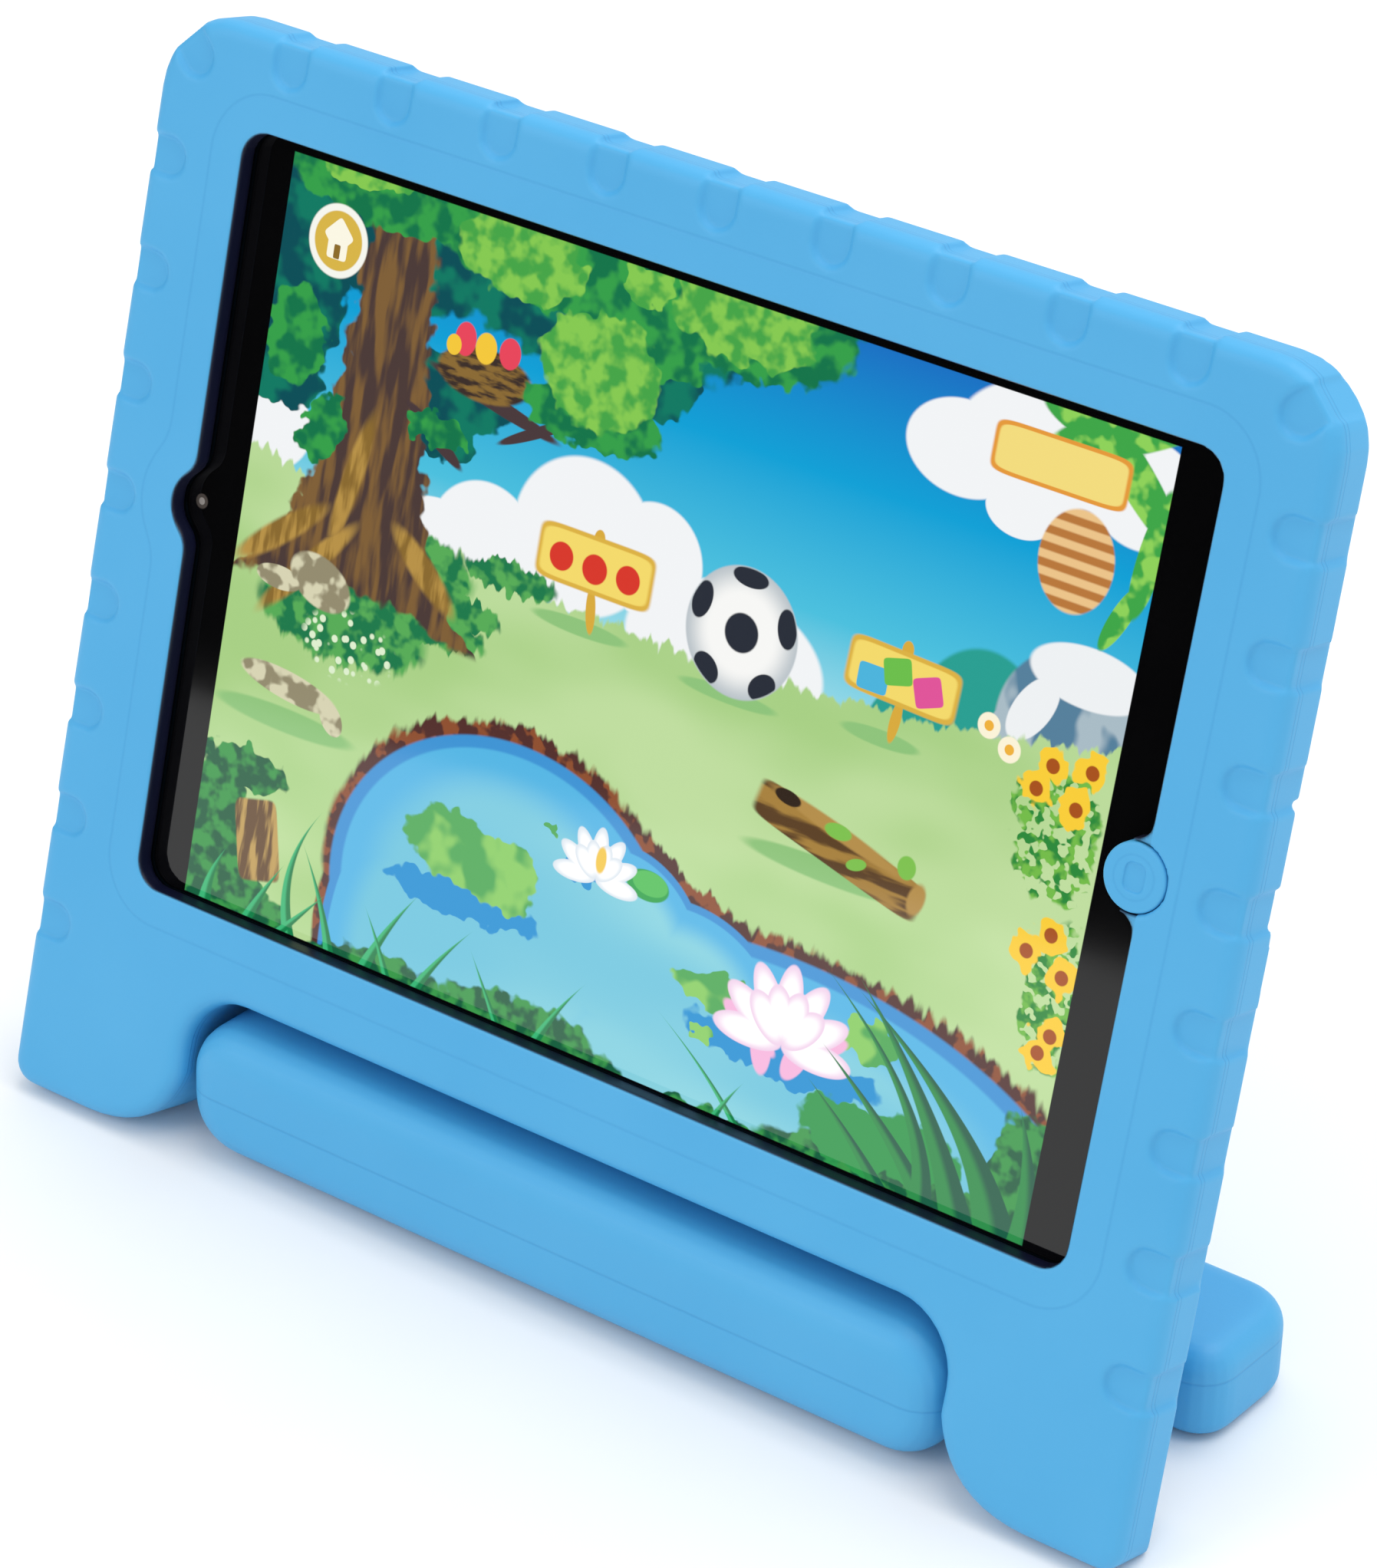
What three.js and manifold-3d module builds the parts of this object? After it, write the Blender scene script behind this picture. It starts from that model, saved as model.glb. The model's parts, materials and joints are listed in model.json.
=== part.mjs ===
// A child's tablet in a moulded foam case. The case has a loop handle on two hinge pins
// between its feet: folded back it is the stand, swung down it is a carrying handle.
//
// All lengths are millimetres. The tablet's own frame has x across the screen, y up the
// screen and z out of the glass, with its origin in the middle of the display. The whole
// model is then leaned back onto its feet and the handle, with +Z up and the screen facing -Y.

import * as THREE from 'three';
import { mergeVertices } from 'three/addons/utils/BufferGeometryUtils.js';
import Module from 'manifold-3d';

// ---- driving dimensions ----

const LEAN = THREE.MathUtils.degToRad(16);   // how far the screen leans back from upright
const GAP = 0.3;                             // clearance between parts that touch

// tablet
const TABLET = { width: 200, height: 134.7, depth: 7.3, corner: 9, wall: 0.8 };
const GLASS = { thickness: 0.9, proud: 0.3 };
const DISPLAY = { width: 160.5, height: 120.4 };

// foam case
const CASE = {
  front: 4, back: -15, top: 77.5, topHalf: 106, footHalf: 107.5, foot: -101.6,
  topCorner: 13, footCorner: 4, footFlat: 90, rimEnd: -4.3, backInset: 7,
};
const SLOT = { half: 73.5, top: -74, corner: 10.5, mouth: -90 };
const WINDOW = { width: 177, height: 122.5, x: 1, y: 0.95, corner: 4.5 };
const LENS_NOTCH = { x: -83.8, y: 2, r: 7.5 };
const GRIP_MARK = { width: 6.4, reach: 7.6, depth: 0.8, topPitch: 20.2, sidePitch: 18.1, sideTop: 54 };

// handle, in its own frame: x across, y out along the loop, z its thickness
const HINGE = { y: -87.5, z: -5.5 };
const BAR = { half: 72.5, depth: 18.4, top: 11, bottom: -12, corner: 9.5, round: 6.5, endRound: 6.2 };
const LOOP = { half: 101, near: 23, far: 48.4, top: 4.4, bottom: -11, corner: 8.5, edge: 3 };
const FINGER_SLOT = { half: 53, far: 34.4, corner: 7 };
const NECK = { half: 72.4, top: 10.4, shoulder: 15, round: 9 };
const SOLE = 0.45;                           // foam pressed flat where it stands on a table

const PIN = { r: 3, inner: 58, outer: 88, flange: 6, flangeWidth: 2 };
const BUSH = { r: 4.5, inner: 56, outer: 71.5 };

// keys and their travel room
const KEY_Z = -3.65;
const HOME_KEY = { x: 90.5, r: 4.8 };
const TONGUE = { x: 88.2, r: 5, neck: 2.6, root: 95.5 };
const POWER_KEY_Y = 50;
const VOLUME_KEYS = { up: -79, down: -67, length: 10 };
const SIDE_SWITCH_X = -90;
const PORT_NOTCH = { y: 1.5, half: 14 };
const JACK_Y = -57;
const REAR_CAMERA = { x: -88, y: 54 };
const FRONT_CAMERA = { x: -90.5, y: 2 };

// ---- solids ----

const wasm = await Module();
wasm.setup();

function toSolid(geometry) {
  const plain = geometry.index ? geometry.toNonIndexed() : geometry.clone();
  plain.deleteAttribute('normal');
  plain.deleteAttribute('uv');
  const merged = mergeVertices(plain, 1e-4);
  return new wasm.Manifold(new wasm.Mesh({
    numProp: 3,
    vertProperties: merged.attributes.position.array,
    triVerts: merged.index.array,
  }));
}

function toGeometry(solid) {
  const mesh = solid.getMesh();
  const geometry = new THREE.BufferGeometry();
  geometry.setAttribute('position', new THREE.BufferAttribute(mesh.vertProperties, 3));
  geometry.setIndex(new THREE.BufferAttribute(mesh.triVerts, 1));
  geometry.computeVertexNormals();
  return geometry;
}

function cut(base, tools) {
  return tools.reduce((solid, tool) => solid.subtract(toSolid(tool)), toSolid(base));
}

// ---- shape helpers ----

function roundedRect(width, height, corner, x = 0, y = 0) {
  const [w, h] = [width / 2, height / 2];
  const shape = new THREE.Shape();
  shape.moveTo(x - w + corner, y - h);
  shape.absarc(x + w - corner, y - h + corner, corner, -Math.PI / 2, 0);
  shape.absarc(x + w - corner, y + h - corner, corner, 0, Math.PI / 2);
  shape.absarc(x - w + corner, y + h - corner, corner, Math.PI / 2, Math.PI);
  shape.absarc(x - w + corner, y - h + corner, corner, Math.PI, Math.PI * 1.5);
  return shape;
}

// a flat plate from z0 to z1, its edges rounded (or chamfered, with one step) by bevel
function plate(shape, z0, z1, { bevel = 0, inset = bevel, steps = 1, arc = 5 } = {}) {
  const geometry = new THREE.ExtrudeGeometry(shape, {
    depth: z1 - z0 - 2 * bevel,
    bevelEnabled: bevel > 0,
    bevelThickness: bevel,
    bevelSize: inset,
    bevelOffset: -inset,
    bevelSegments: steps,
    curveSegments: arc,
  });
  return geometry.translate(0, 0, z0 + bevel);
}

function block(x0, x1, y0, y1, z0, z1) {
  const geometry = new THREE.BoxGeometry(x1 - x0, y1 - y0, z1 - z0);
  return geometry.translate((x0 + x1) / 2, (y0 + y1) / 2, (z0 + z1) / 2);
}

function disc(r, x, y, z0, z1, sides = 20) {
  const geometry = new THREE.CylinderGeometry(r, r, z1 - z0, sides);
  return geometry.rotateX(Math.PI / 2).translate(x, y, (z0 + z1) / 2);
}

function rodAlongX(r, x0, x1, y, z, sides = 20) {
  const geometry = new THREE.CylinderGeometry(r, r, x1 - x0, sides);
  return geometry.rotateZ(Math.PI / 2).translate((x0 + x1) / 2, y, z);
}

// ---- materials ----

function finish(color, roughness, metalness = 0) {
  return () => new THREE.MeshStandardMaterial({ color, roughness, metalness });
}

const foam = finish(0x4fb0e6, 0.85);
const nylon = finish(0xe8e8e4, 0.5);
const aluminium = finish(0xb9bcc1, 0.35, 1);
const steel = finish(0xc7c9cc, 0.3, 1);
const blackGlass = finish(0x0a0b0d, 0.08);
const blackPlastic = finish(0x17181a, 0.5);
const whitePlastic = finish(0xf0f0ee, 0.6);
const circuitGreen = finish(0x123a24, 0.5);
const foilSilver = finish(0x8d9096, 0.4, 0.8);
const amberFilm = finish(0xb0661d, 0.45);

// ---- tablet group: everything that leans with the screen ----

const tablet = new THREE.Group();
tablet.rotation.x = Math.PI / 2 - LEAN;

function add(parent, name, shape, material) {
  const geometry = shape.isBufferGeometry ? shape : toGeometry(shape);
  const mesh = new THREE.Mesh(geometry, material());
  mesh.name = name;
  parent.add(mesh);
  return mesh;
}

// The table's height in the leaned frame, measured up from the display's middle: the
// feet stand on the edge where the rim ends and the back starts to slope in.
const tableHeight = CASE.foot * Math.cos(LEAN) + CASE.rimEnd * Math.sin(LEAN) + SOLE;

// everything under the table, in the tablet's frame
function belowTable() {
  const ground = new THREE.BoxGeometry(400, 400, 60);
  return ground.translate(0, 0, tableHeight - 30).rotateX(LEAN - Math.PI / 2);
}

// ---- foam case ----

function caseOutline() {
  const { top, topHalf, topCorner, footHalf, foot, footCorner, footFlat } = CASE;
  const shape = new THREE.Shape();
  shape.moveTo(footFlat, foot);
  shape.lineTo(footHalf - footCorner, foot);
  shape.quadraticCurveTo(footHalf, foot, footHalf, foot + footCorner);
  shape.absarc(topHalf - topCorner, top - topCorner, topCorner, 0, Math.PI / 2);
  shape.absarc(topCorner - topHalf, top - topCorner, topCorner, Math.PI / 2, Math.PI);
  shape.lineTo(-footHalf, foot + footCorner);
  shape.quadraticCurveTo(-footHalf, foot, footCorner - footHalf, foot);
  shape.lineTo(-footFlat, foot);
  shape.quadraticCurveTo(-SLOT.half - 4, foot + 0.5, -SLOT.half, SLOT.mouth);
  shape.absarc(SLOT.corner - SLOT.half, SLOT.top - SLOT.corner, SLOT.corner, Math.PI, Math.PI / 2, true);
  shape.absarc(SLOT.half - SLOT.corner, SLOT.top - SLOT.corner, SLOT.corner, Math.PI / 2, 0, true);
  shape.lineTo(SLOT.half, SLOT.mouth);
  shape.quadraticCurveTo(SLOT.half + 4, foot + 0.5, footFlat, foot);
  return shape;
}

// the case without its slot, a little wider than the case itself
function slabOutline() {
  const { top, topHalf, topCorner, footHalf, foot } = CASE;
  const spare = 0.5;
  const shape = new THREE.Shape();
  shape.moveTo(0, foot);
  shape.lineTo(footHalf + spare, foot);
  shape.absarc(topHalf + spare - topCorner, top - topCorner, topCorner, 0, Math.PI / 2);
  shape.absarc(topCorner - topHalf - spare, top - topCorner, topCorner, Math.PI / 2, Math.PI);
  shape.lineTo(-footHalf - spare, foot);
  return shape;
}

// One grip mark: a shallow tongue-shaped dent that runs from the face out over the rim.
function gripMark(x, y, angle) {
  const { width, reach, depth } = GRIP_MARK;
  const dent = new THREE.Shape();
  dent.moveTo(4, -width / 2);
  dent.lineTo(4, width / 2);
  dent.lineTo(width / 2 - reach, width / 2);
  dent.absarc(width / 2 - reach, 0, width / 2, Math.PI / 2, Math.PI * 1.5);
  const face = plate(dent, CASE.front - depth, CASE.front + 2, { arc: 5 });
  const rim = block(-depth, 4, -width / 2, width / 2, CASE.back - 1, CASE.front + 1);
  return [face, rim].map((tool) => tool.rotateZ(angle).translate(x, y, 0));
}

function gripMarks() {
  const { topPitch, sidePitch, sideTop } = GRIP_MARK;
  const sideHalf = (y) => THREE.MathUtils.mapLinear(y, CASE.top, CASE.foot, CASE.topHalf, CASE.footHalf);
  const marks = [];
  for (let i = -4; i <= 4; i += 1) marks.push(gripMark(i * topPitch, CASE.top, Math.PI / 2));
  for (let i = 0; i < 8; i += 1) {
    const y = sideTop - i * sidePitch;
    marks.push(gripMark(sideHalf(y), y, 0), gripMark(-sideHalf(y), y, Math.PI));
  }
  const cornerMid = CASE.topCorner * (1 - Math.SQRT1_2);
  for (const side of [1, -1]) {
    const x = side * (CASE.topHalf - cornerMid);
    marks.push(gripMark(x, CASE.top - cornerMid, side > 0 ? Math.PI / 4 : Math.PI * 0.75));
  }
  return marks.flat();
}

function tongueShape(grow) {
  const { x, r, neck, root } = TONGUE;
  const half = neck + grow;
  const join = Math.asin(half / (r + grow));
  const shape = new THREE.Shape();
  shape.moveTo(root + grow, -half);
  shape.lineTo(root + grow, half);
  shape.absarc(x, 0, r + grow, join, 2 * Math.PI - join);
  return shape;
}

function caseBody() {
  const half = CASE.footHalf;
  const rounded = plate(caseOutline(), CASE.back - 6, CASE.front, { bevel: 2.8, steps: 3, arc: 7 });
  const slope = CASE.rimEnd - CASE.back;
  const sloped = plate(slabOutline(), CASE.back, CASE.front + 30,
    { bevel: slope, inset: CASE.backInset, steps: 1, arc: 7 });
  const pocket = roundedRect(TABLET.width + 2 * GAP, TABLET.height + 2 * GAP, TABLET.corner + GAP);
  const { width: ww, height: wh, corner, x, y } = WINDOW;
  const edge = TABLET.width / 2;
  const topEdge = TABLET.height / 2;
  const notchTop = PORT_NOTCH.y + PORT_NOTCH.half;
  const notchBottom = PORT_NOTCH.y - PORT_NOTCH.half;
  const tools = [
    plate(pocket, -TABLET.depth - GAP, GLASS.proud + GAP),
    plate(roundedRect(ww, wh, corner, x, y), 0, CASE.front + 2),
    disc(LENS_NOTCH.r, LENS_NOTCH.x, LENS_NOTCH.y, 0, CASE.front + 2, 32),
    plate(tongueShape(GAP), 0.1, CASE.front + 2),
    disc(7.5, REAR_CAMERA.x, REAR_CAMERA.y, CASE.back - 1, -7, 24),
    // the cable notch, open at the back, and its way through to the charging port
    block(edge - 2, half + 4, notchBottom, notchTop, CASE.back - 2, CASE.rimEnd - 0.7),
    block(edge - 2, edge + 3, PORT_NOTCH.y - 8, PORT_NOTCH.y + 8, CASE.back, -1),
    // headphone hole and the room around the side keys
    rodAlongX(4.5, -half - 3, 1 - edge, JACK_Y, KEY_Z),
    block(-edge - 1.8, -edge + 1, POWER_KEY_Y - 8, POWER_KEY_Y + 8, -6, -1.3),
    block(SIDE_SWITCH_X - 5, VOLUME_KEYS.down + 7, topEdge - 1, topEdge + 1.8, -6, -1.3),
    ...[1, -1].flatMap((side) => pinSocket(side)),
    ...gripMarks(),
    belowTable(),
  ];
  return tools.reduce((solid, tool) => solid.subtract(toSolid(tool)), toSolid(rounded).intersect(toSolid(sloped)));
}

// the blind hole in each foot that the hinge pin is moulded into
function pinSocket(side) {
  const span = (from, to) => (side > 0 ? [from, to] : [-to, -from]);
  const [a, b] = span(SLOT.half - 3, PIN.outer - PIN.flangeWidth);
  const [c, d] = span(PIN.outer - PIN.flangeWidth - GAP, PIN.outer + GAP);
  return [
    rodAlongX(PIN.r + GAP, a, b, HINGE.y, HINGE.z),
    rodAlongX(PIN.flange + GAP, c, d, HINGE.y, HINGE.z),
  ];
}

add(tablet, 'case_body', caseBody(), foam);

function tongue() {
  const nub = toSolid(disc(1.5, HOME_KEY.x, 0, 0.4, 2));
  return toSolid(plate(tongueShape(0), 1.6, CASE.front, { bevel: 0.5, steps: 1 })).add(nub);
}

add(tablet, 'home_key_tongue', tongue(), foam);

// ---- handle: swung about the hinge pins, at rest with its grip down on the table ----

// how far the loop dips below level so that its far lower edge meets the table
function handleDip() {
  const axisHeight = HINGE.y * Math.cos(LEAN) + HINGE.z * Math.sin(LEAN);
  const along = LOOP.far - LOOP.edge;
  const below = -LOOP.bottom - LOOP.edge;
  const drop = axisHeight - tableHeight + SOLE - LOOP.edge;
  return Math.asin(drop / Math.hypot(along, below)) - Math.atan2(below, along);
}

const handle = new THREE.Group();
handle.position.set(0, HINGE.y, HINGE.z);
handle.rotation.x = LEAN - handleDip() - Math.PI / 2;
tablet.add(handle);

function sideProfile(points) {
  const shape = new THREE.Shape();
  points.forEach(([out, up], i) => (i ? shape.lineTo(up, out) : shape.moveTo(up, out)));
  return shape;
}

// a section in the handle's y (out) and z (up) plane, carried across from x0 to x1
function across(shape, x0, x1, options) {
  const turned = new THREE.Matrix4().makeBasis(
    new THREE.Vector3(0, 0, 1), new THREE.Vector3(0, 1, 0), new THREE.Vector3(-1, 0, 0));
  return plate(shape, -x1, -x0, options).applyMatrix4(turned);
}

function handleLoop() {
  const { half, near, far, top, bottom, corner, edge } = LOOP;
  const barHeight = BAR.top - BAR.bottom;
  const barMiddle = (BAR.top + BAR.bottom) / 2;
  const barFront = plate(roundedRect(2 * BAR.half, barHeight, BAR.corner, 0, barMiddle), -20, 20, { arc: 6 });
  const barSection = roundedRect(barHeight, BAR.depth, BAR.round, barMiddle, 0);
  const bar = toSolid(across(barSection, -BAR.half, BAR.half, { bevel: BAR.endRound, steps: 3 }))
    .intersect(toSolid(barFront.rotateX(Math.PI / 2)));
  const neckSide = sideProfile([
    [4, bottom], [near + 6, bottom], [near + 6, top - 1], [near + 1, top - 1],
    [NECK.shoulder, NECK.top], [4, NECK.top],
  ]);
  const neckHeight = NECK.top - bottom;
  const neckSection = plate(roundedRect(2 * NECK.half, neckHeight, NECK.round, 0, neckHeight / 2 + bottom), -50, 0)
    .rotateX(Math.PI / 2);
  const necks = toSolid(across(neckSide, -NECK.half - 1, NECK.half + 1)).intersect(toSolid(neckSection));
  const outline = new THREE.Shape();
  outline.moveTo(-half + 4, near);
  outline.absarc(half - 4, near + 4, 4, -Math.PI / 2, 0);
  outline.absarc(half - corner, far - corner, corner, 0, Math.PI / 2);
  outline.absarc(corner - half, far - corner, corner, Math.PI / 2, Math.PI);
  outline.absarc(4 - half, near + 4, 4, Math.PI, Math.PI * 1.5);
  const grip = plate(outline, bottom, top, { bevel: edge, steps: 3, arc: 6 });
  const slotDepth = FINGER_SLOT.far;
  const fingers = plate(roundedRect(2 * FINGER_SLOT.half, slotDepth, FINGER_SLOT.corner, 0, slotDepth / 2),
    bottom - 2, NECK.top + 2);
  const holes = [1, -1].map((side) => {
    const [a, b] = side > 0 ? [BUSH.inner - GAP, 80] : [-80, GAP - BUSH.inner];
    return rodAlongX(BUSH.r + GAP, a, b, 0, 0);
  });
  const whole = toSolid(grip).add(necks).subtract(toSolid(fingers)).add(bar);
  const ground = belowTable().translate(0, -HINGE.y, -HINGE.z).rotateX(-handle.rotation.x);
  return [...holes, ground].reduce((solid, tool) => solid.subtract(toSolid(tool)), whole);
}

add(handle, 'handle_loop', handleLoop(), foam);

for (const [name, side] of [['right', 1], ['left', -1]]) {
  const span = (from, to) => (side > 0 ? [from, to] : [-to, -from]);
  const [a, b] = span(BUSH.inner, BUSH.outer);
  const bush = cut(rodAlongX(BUSH.r, a, b, 0, 0), [rodAlongX(PIN.r + 0.15, a - 1, b + 1, 0, 0)]);
  add(handle, `hinge_bush_${name}`, bush, nylon);
  const [c, d] = span(PIN.inner, PIN.outer);
  const [e, f] = span(PIN.outer - PIN.flangeWidth, PIN.outer);
  const pin = toSolid(rodAlongX(PIN.r, c, d, HINGE.y, HINGE.z))
    .add(toSolid(rodAlongX(PIN.flange, e, f, HINGE.y, HINGE.z)));
  add(tablet, `hinge_pin_${name}`, pin, steel);
}

// ---- tablet shell and screen ----

const wallX = TABLET.width / 2;
const wallY = TABLET.height / 2;
const floorZ = 0.7 - TABLET.depth;

function housing() {
  const { width, height, depth, corner, wall } = TABLET;
  const outer = plate(roundedRect(width, height, corner), -depth, 6, { bevel: 2.5, steps: 3 });
  const inner = plate(roundedRect(width - 2 * wall, height - 2 * wall, corner - wall), floorZ, 9,
    { bevel: 2, steps: 2 });
  return cut(outer, [
    inner,
    block(-wallX - 5, wallX + 5, -wallY - 5, wallY + 5, 0, 20),
    disc(3.5, REAR_CAMERA.x, REAR_CAMERA.y, -depth - 1, floorZ + 1),
    block(wallX - 2, wallX + 2, -4.7, 4.7, KEY_Z - 1.6, KEY_Z + 1.6),
    rodAlongX(2, -wallX - 2, 2 - wallX, JACK_Y, KEY_Z),
    block(-wallX - 2, 2 - wallX, POWER_KEY_Y - 5.3, POWER_KEY_Y + 5.3, KEY_Z - 1.4, KEY_Z + 1.4),
    block(VOLUME_KEYS.up - 5.3, VOLUME_KEYS.up + 5.3, wallY - 2, wallY + 2, KEY_Z - 1.4, KEY_Z + 1.4),
    block(VOLUME_KEYS.down - 5.3, VOLUME_KEYS.down + 5.3, wallY - 2, wallY + 2, KEY_Z - 1.4, KEY_Z + 1.4),
    block(SIDE_SWITCH_X - 3.5, SIDE_SWITCH_X + 3.5, wallY - 2, wallY + 2, KEY_Z - 1.2, KEY_Z + 1.2),
  ]);
}

add(tablet, 'tablet_housing', housing(), aluminium);

const glassInset = TABLET.wall + GAP;
const glassShape = roundedRect(TABLET.width - 2 * glassInset, TABLET.height - 2 * glassInset,
  TABLET.corner - glassInset);
add(tablet, 'cover_glass', cut(plate(glassShape, GLASS.proud - GLASS.thickness, GLASS.proud),
  [disc(HOME_KEY.r + GAP, HOME_KEY.x, 0, -3, 3, 32)]), blackGlass);

const gasketHole = roundedRect(TABLET.width - 7, TABLET.height - 7, 5);
add(tablet, 'glass_gasket', cut(plate(glassShape, -1.1, -0.9), [plate(gasketHole, -3, 3)]), blackPlastic);
add(tablet, 'display_panel',
  plate(roundedRect(DISPLAY.width + 2, DISPLAY.height + 2, 1), -2.3, -0.9, { arc: 2 }), blackPlastic);
add(tablet, 'backlight_tray',
  plate(roundedRect(DISPLAY.width + 2, DISPLAY.height + 2, 1), -3.2, -2.6, { arc: 2 }), whitePlastic);

// ---- electronics ----

const cell = { width: 62, y0: -60, y1: 37, z0: -6.3, z1: -3.6 };
for (const [name, x] of [['left', -64], ['right', 1.5]]) {
  const shape = roundedRect(cell.width, cell.y1 - cell.y0, 3, x + cell.width / 2, (cell.y0 + cell.y1) / 2);
  add(tablet, `battery_cell_${name}`, plate(shape, cell.z0, cell.z1, { bevel: 0.6, arc: 3 }), foilSilver);
}

const screwSpots = [[-58, 48], [-58, 60], [56, 48], [56, 60]];
add(tablet, 'logic_board', cut(block(-62, 60, 44.5, 63.5, -5.2, -4.4),
  screwSpots.map(([x, y]) => disc(1.1, x, y, -7, -3, 12))), circuitGreen);
add(tablet, 'board_shield', block(-52, 50, 46.5, 61.5, -4.1, -3.5), foilSilver);
screwSpots.forEach(([x, y], i) => {
  const screw = toSolid(disc(1.7, x, y, -4.1, -3.6, 12)).add(toSolid(disc(0.8, x, y, -6.2, -4, 12)));
  add(tablet, `board_screw_${i + 1}`, screw, steel);
});
add(tablet, 'battery_flex', block(-5, 5, 37.3, 44.2, -5, -4.8), amberFilm);
add(tablet, 'display_flex', block(64.5, 76, 20, 58, -3.8, -3.6), amberFilm);
add(tablet, 'port_flex', block(66, 94.2, -3, 3, -4.7, -4.5), amberFilm);

for (const [name, side] of [['upper', 1], ['lower', -1]]) {
  const [y0, y1] = side > 0 ? [14, 50] : [-50, -14];
  add(tablet, `speaker_${name}`, block(83, 96, y0, y1, -6.2, -3.4), blackPlastic);
}
const port = cut(block(94.6, 98.5, -4.4, 4.4, KEY_Z - 1.5, KEY_Z + 1.5),
  [block(95.4, 100, -3.6, 3.6, KEY_Z - 0.8, KEY_Z + 0.8)]);
add(tablet, 'charging_port', port, foilSilver);
const jack = cut(rodAlongX(2.2, -98.2, -85, JACK_Y, KEY_Z), [rodAlongX(1.75, -100, -87, JACK_Y, KEY_Z)]);
add(tablet, 'headphone_jack', jack, blackPlastic);
add(tablet, 'microphone', disc(1.6, -95.5, 14, -3.4, -1.6, 12), foilSilver);
add(tablet, 'wireless_antenna', block(-97, -84, -46, -20, -3.6, -3), amberFilm);
add(tablet, 'front_camera', toSolid(block(-93.5, -87.5, -1, 5, -3.4, -1.4))
  .add(toSolid(disc(1.8, FRONT_CAMERA.x, FRONT_CAMERA.y, -2, -0.9))), blackPlastic);
const { x: lensX, y: lensY } = REAR_CAMERA;
add(tablet, 'rear_camera', toSolid(block(lensX - 4, lensX + 4, lensY - 4, lensY + 4, -6.2, -3.4))
  .add(toSolid(disc(2.6, lensX, lensY, -6.6, -6))), blackPlastic);
add(tablet, 'rear_camera_window', disc(3.2, lensX, lensY, -7.3, -6.9, 24), blackGlass);

// ---- keys that travel ----

const homeCap = toSolid(disc(HOME_KEY.r, HOME_KEY.x, 0, -0.9, 0.1, 32));
add(tablet, 'home_button', homeCap, blackGlass);
add(tablet, 'home_button_switch', toSolid(block(87, 94, -3.5, 3.5, -2.2, -1.9))
  .add(toSolid(disc(1.5, HOME_KEY.x, 0, -2, -1.5, 16))), steel);

const keyHalf = VOLUME_KEYS.length / 2;
add(tablet, 'power_button',
  block(-wallX - 0.5, 1.6 - wallX, POWER_KEY_Y - keyHalf, POWER_KEY_Y + keyHalf, KEY_Z - 1.1, KEY_Z + 1.1),
  aluminium);
for (const name of ['up', 'down']) {
  const x = VOLUME_KEYS[name];
  add(tablet, `volume_${name}_button`,
    block(x - keyHalf, x + keyHalf, wallY - 1.6, wallY + 0.5, KEY_Z - 1.1, KEY_Z + 1.1), aluminium);
}
add(tablet, 'side_switch', block(SIDE_SWITCH_X - 3.2, SIDE_SWITCH_X + 1.2, wallY - 1.6, wallY + 0.5,
  KEY_Z - 0.9, KEY_Z + 0.9), aluminium);
add(tablet, 'key_bracket', block(-94.5, -61, wallY - 3.2, wallY - 2.4, -5.2, -2), steel);
add(tablet, 'power_key_bracket', block(-97.2, -96.4, POWER_KEY_Y - 7, POWER_KEY_Y + 7, -5.2, -2), steel);

// ---- stand the model on the table, centred over its footprint ----

const product = new THREE.Group();
product.add(tablet);
product.updateMatrixWorld(true);
const bounds = new THREE.Box3().setFromObject(product, true);
const middle = bounds.getCenter(new THREE.Vector3());
tablet.position.set(-middle.x, -middle.y, -bounds.min.z);

export default product;
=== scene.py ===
"""A child's tablet in a blue moulded foam case, standing on its folded handle."""
import json
import math

import bpy
from mathutils import Matrix, Vector


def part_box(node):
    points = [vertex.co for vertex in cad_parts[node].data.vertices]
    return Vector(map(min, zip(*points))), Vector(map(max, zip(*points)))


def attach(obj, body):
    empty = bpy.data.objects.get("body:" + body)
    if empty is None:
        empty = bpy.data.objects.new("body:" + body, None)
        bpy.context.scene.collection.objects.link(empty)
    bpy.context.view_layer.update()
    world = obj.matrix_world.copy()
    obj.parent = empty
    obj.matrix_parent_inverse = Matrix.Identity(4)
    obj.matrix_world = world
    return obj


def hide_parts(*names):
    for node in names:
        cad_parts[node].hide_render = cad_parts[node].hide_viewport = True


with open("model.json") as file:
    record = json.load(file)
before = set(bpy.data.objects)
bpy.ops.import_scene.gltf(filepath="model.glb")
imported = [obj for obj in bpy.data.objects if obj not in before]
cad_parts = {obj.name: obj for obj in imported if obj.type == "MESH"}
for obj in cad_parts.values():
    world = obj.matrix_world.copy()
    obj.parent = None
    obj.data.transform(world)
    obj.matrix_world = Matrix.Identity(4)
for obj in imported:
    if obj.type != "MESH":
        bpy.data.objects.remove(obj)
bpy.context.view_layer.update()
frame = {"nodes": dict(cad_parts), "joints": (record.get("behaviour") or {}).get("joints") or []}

# ---- camera ----
# The tablet is seen from its right front corner and from above, with a long lens. Its place
# is measured from the middle of the display, which leans back with the whole case.
MM = 0.001
joints = {joint["name"]: joint for joint in frame["joints"]}
key_axis = joints["home_key_bend"]["axis"]
lean = math.atan2(-key_axis[1], -key_axis[2])
screen_out = Vector((0, -math.cos(lean), math.sin(lean)))
PANEL_DEPTH = 1.6 * MM
panel_low, panel_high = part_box("display_panel")
display_middle = (panel_low + panel_high) / 2 + screen_out * PANEL_DEPTH
CAMERA_AWAY = Vector((0.4607, -0.5953, 0.4331))
CAMERA_TILT, CAMERA_ROLL, CAMERA_TURN = 59.103, 0.07, 37.262
CAMERA_LENS = 134.68
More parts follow.
